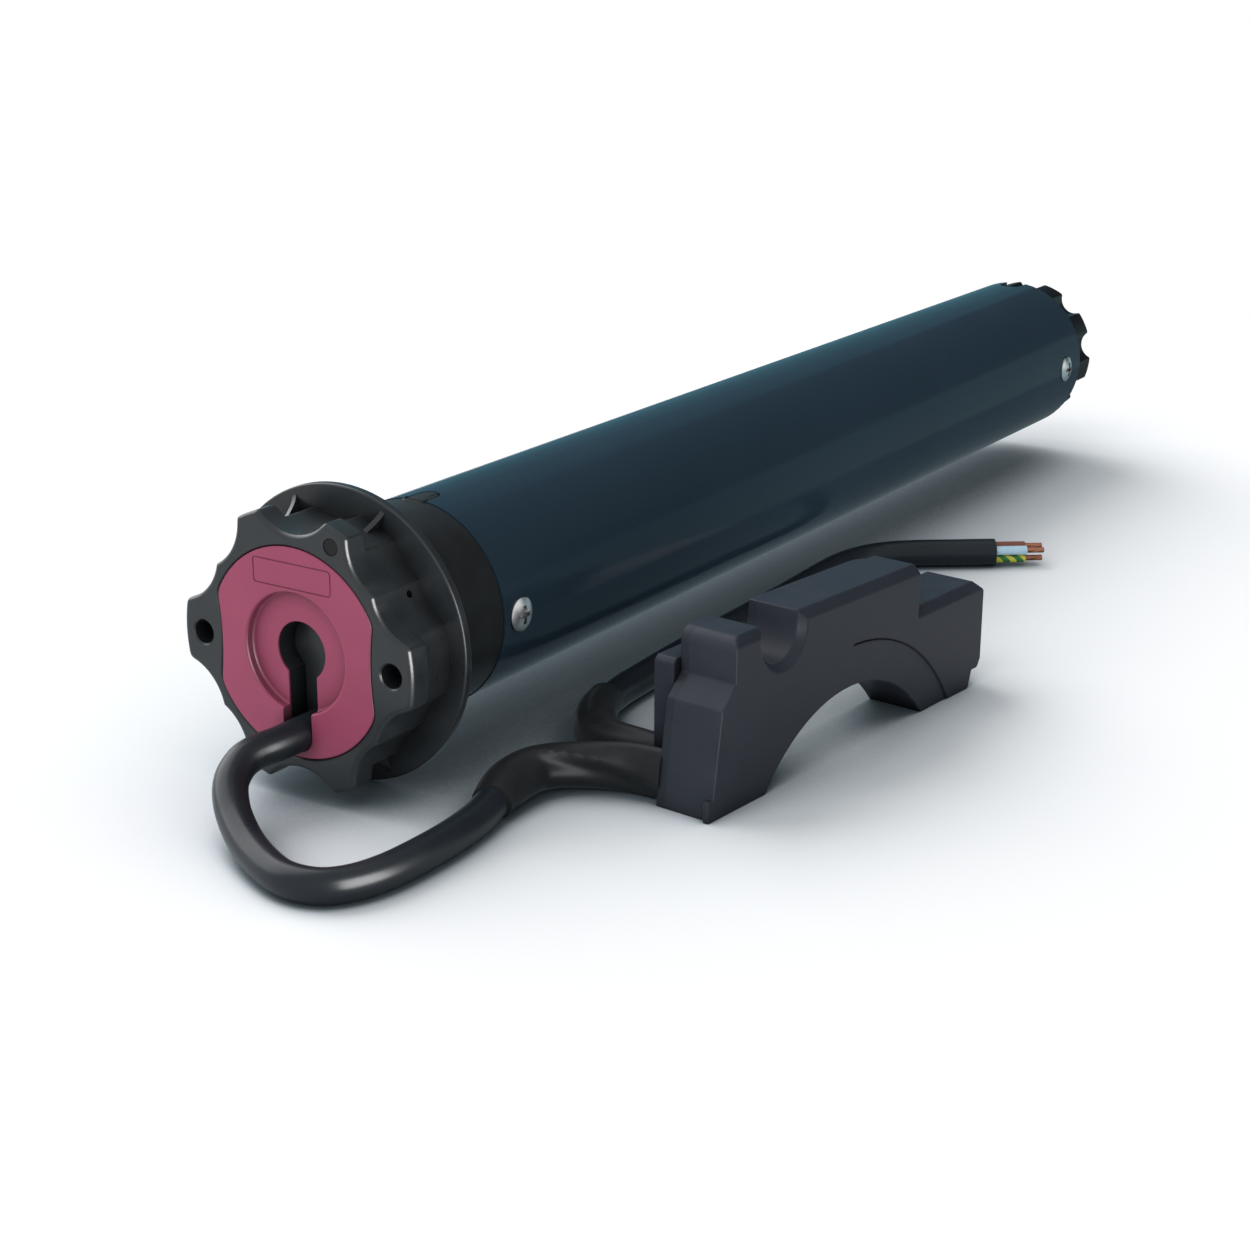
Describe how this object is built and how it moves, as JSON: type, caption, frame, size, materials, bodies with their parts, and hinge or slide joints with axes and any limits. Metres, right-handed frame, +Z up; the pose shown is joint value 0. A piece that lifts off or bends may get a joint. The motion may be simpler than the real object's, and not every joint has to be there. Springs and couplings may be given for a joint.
{
  "type": "tubular roller blind motor",
  "caption": "Tubular motor for a roller blind: star-shaped head with fixing holes, dark steel tube, scalloped drive wheel, and a lead to an arch-shaped control module with a supply lead.",
  "frame": {"origin": "centre of the head's front face, on the motor axis, midway between the two fixing holes", "axes": "+X along the motor axis from the head to the drive wheel, +Z up, -Y towards the control module"},
  "size_m": [0.3913, 0.1149, 0.062],
  "materials": {
    "head_plastic": "satin black",
    "plate_plastic": "satin maroon",
    "tube_paint": "dark blue-black gloss paint on steel",
    "zinc_steel": "bright zinc",
    "steel": "machined",
    "cast_alloy": "die cast",
    "copper": "copper",
    "bronze": "sintered bronze",
    "board": "green circuit board",
    "inner_plastic": "natural moulding",
    "friction_lining": "brake lining",
    "module_plastic": "fine satin blue-grey",
    "lead_sheath": "glossy black sheath",
    "core_sheath": "brown, blue and green-yellow core insulation"
  },
  "bodies": {
    "housing": {"head_body": "head_plastic", "face_plate": "plate_plastic", "head_screws": "zinc_steel", "lead_plug": "head_plastic", "terminal_board": "board", "head_collar": "head_plastic", "motor_tube": "tube_paint", "head_fixing_screws": "zinc_steel", "gear_fixing_screws": "zinc_steel", "inner_wires": "copper", "capacitor_holder": "inner_plastic", "run_capacitor": "inner_plastic", "encoder_board": "board", "rear_shield": "cast_alloy", "rear_bearing": "steel", "stator_core": "steel", "stator_windings": "copper", "stator_bolts": "zinc_steel", "front_shield": "cast_alloy", "front_bearing": "steel", "brake_springs": "steel", "brake_magnet": "steel", "brake_coil": "copper", "gear_case": "cast_alloy", "end_cap": "head_plastic", "output_bush": "bronze", "module_case": "module_plastic", "module_back_cover": "module_plastic", "module_cable_entry": "module_plastic", "module_screws": "zinc_steel", "receiver_board": "board", "relays": "inner_plastic", "supply_transformer": "copper", "aerial": "copper", "terminal_strip": "inner_plastic", "motor_lead": "lead_sheath", "motor_lead_sleeve": "lead_sheath", "supply_lead": "lead_sheath", "supply_lead_sleeve": "lead_sheath", "lead_cores": "core_sheath", "core_ends": "copper"},
    "rotor": {"rotor_core": "steel", "rotor_shaft": "steel", "encoder_magnet": "steel", "brake_disc": "friction_lining", "sun_pinion": "steel"},
    "brake_plate": {"brake_armature": "steel"},
    "first_carrier": {"carrier_1": "steel", "carrier_1_pins": "steel"},
    "first_planet_a": {"planet_1a": "steel"},
    "first_planet_b": {"planet_1b": "steel"},
    "first_planet_c": {"planet_1c": "steel"},
    "second_planet_a": {"planet_2a": "steel"},
    "second_planet_b": {"planet_2b": "steel"},
    "second_planet_c": {"planet_2c": "steel"},
    "output": {"output_shaft": "steel", "carrier_2_pins": "steel", "drive_wheel": "head_plastic", "drive_washer": "zinc_steel", "drive_screw": "zinc_steel"}
  },
  "joints": [
    {"name": "output_spin", "type": "hinge", "parent": "housing", "child": "output", "pos_m": [0.3081, 0, 0], "axis": [1, 0, 0], "continuous": true},
    {"name": "first_carrier_spin", "type": "hinge", "parent": "housing", "child": "first_carrier", "pos_m": [0.2836, 0, 0], "axis": [1, 0, 0], "continuous": true},
    {"name": "rotor_spin", "type": "hinge", "parent": "housing", "child": "rotor", "pos_m": [0.1941, 0, 0], "axis": [1, 0, 0], "continuous": true},
    {"name": "first_planet_a_spin", "type": "hinge", "parent": "first_carrier", "child": "first_planet_a", "pos_m": [0.2736, 0, 0.0108], "axis": [1, 0, 0], "continuous": true},
    {"name": "first_planet_b_spin", "type": "hinge", "parent": "first_carrier", "child": "first_planet_b", "pos_m": [0.2736, -0.00935, -0.0054], "axis": [1, 0, 0], "continuous": true},
    {"name": "first_planet_c_spin", "type": "hinge", "parent": "first_carrier", "child": "first_planet_c", "pos_m": [0.2736, 0.00935, -0.0054], "axis": [1, 0, 0], "continuous": true},
    {"name": "second_planet_a_spin", "type": "hinge", "parent": "output", "child": "second_planet_a", "pos_m": [0.2956, 0, 0.0108], "axis": [1, 0, 0], "continuous": true},
    {"name": "second_planet_b_spin", "type": "hinge", "parent": "output", "child": "second_planet_b", "pos_m": [0.2956, -0.00935, -0.0054], "axis": [1, 0, 0], "continuous": true},
    {"name": "second_planet_c_spin", "type": "hinge", "parent": "output", "child": "second_planet_c", "pos_m": [0.2956, 0.00935, -0.0054], "axis": [1, 0, 0], "continuous": true},
    {"name": "brake_release", "type": "slide", "parent": "housing", "child": "brake_plate", "axis": [1, 0, 0], "range_m": [0, 0.0004], "deforming": ["brake_springs"]}
  ],
  "couplings": [
    {"joint": "first_carrier_spin", "follows": "output_spin", "ratio": 6},
    {"joint": "rotor_spin", "follows": "output_spin", "ratio": 36},
    {"joint": "first_planet_a_spin", "follows": "output_spin", "ratio": -15},
    {"joint": "first_planet_b_spin", "follows": "output_spin", "ratio": -15},
    {"joint": "first_planet_c_spin", "follows": "output_spin", "ratio": -15},
    {"joint": "second_planet_a_spin", "follows": "output_spin", "ratio": -2.5},
    {"joint": "second_planet_b_spin", "follows": "output_spin", "ratio": -2.5},
    {"joint": "second_planet_c_spin", "follows": "output_spin", "ratio": -2.5}
  ]
}
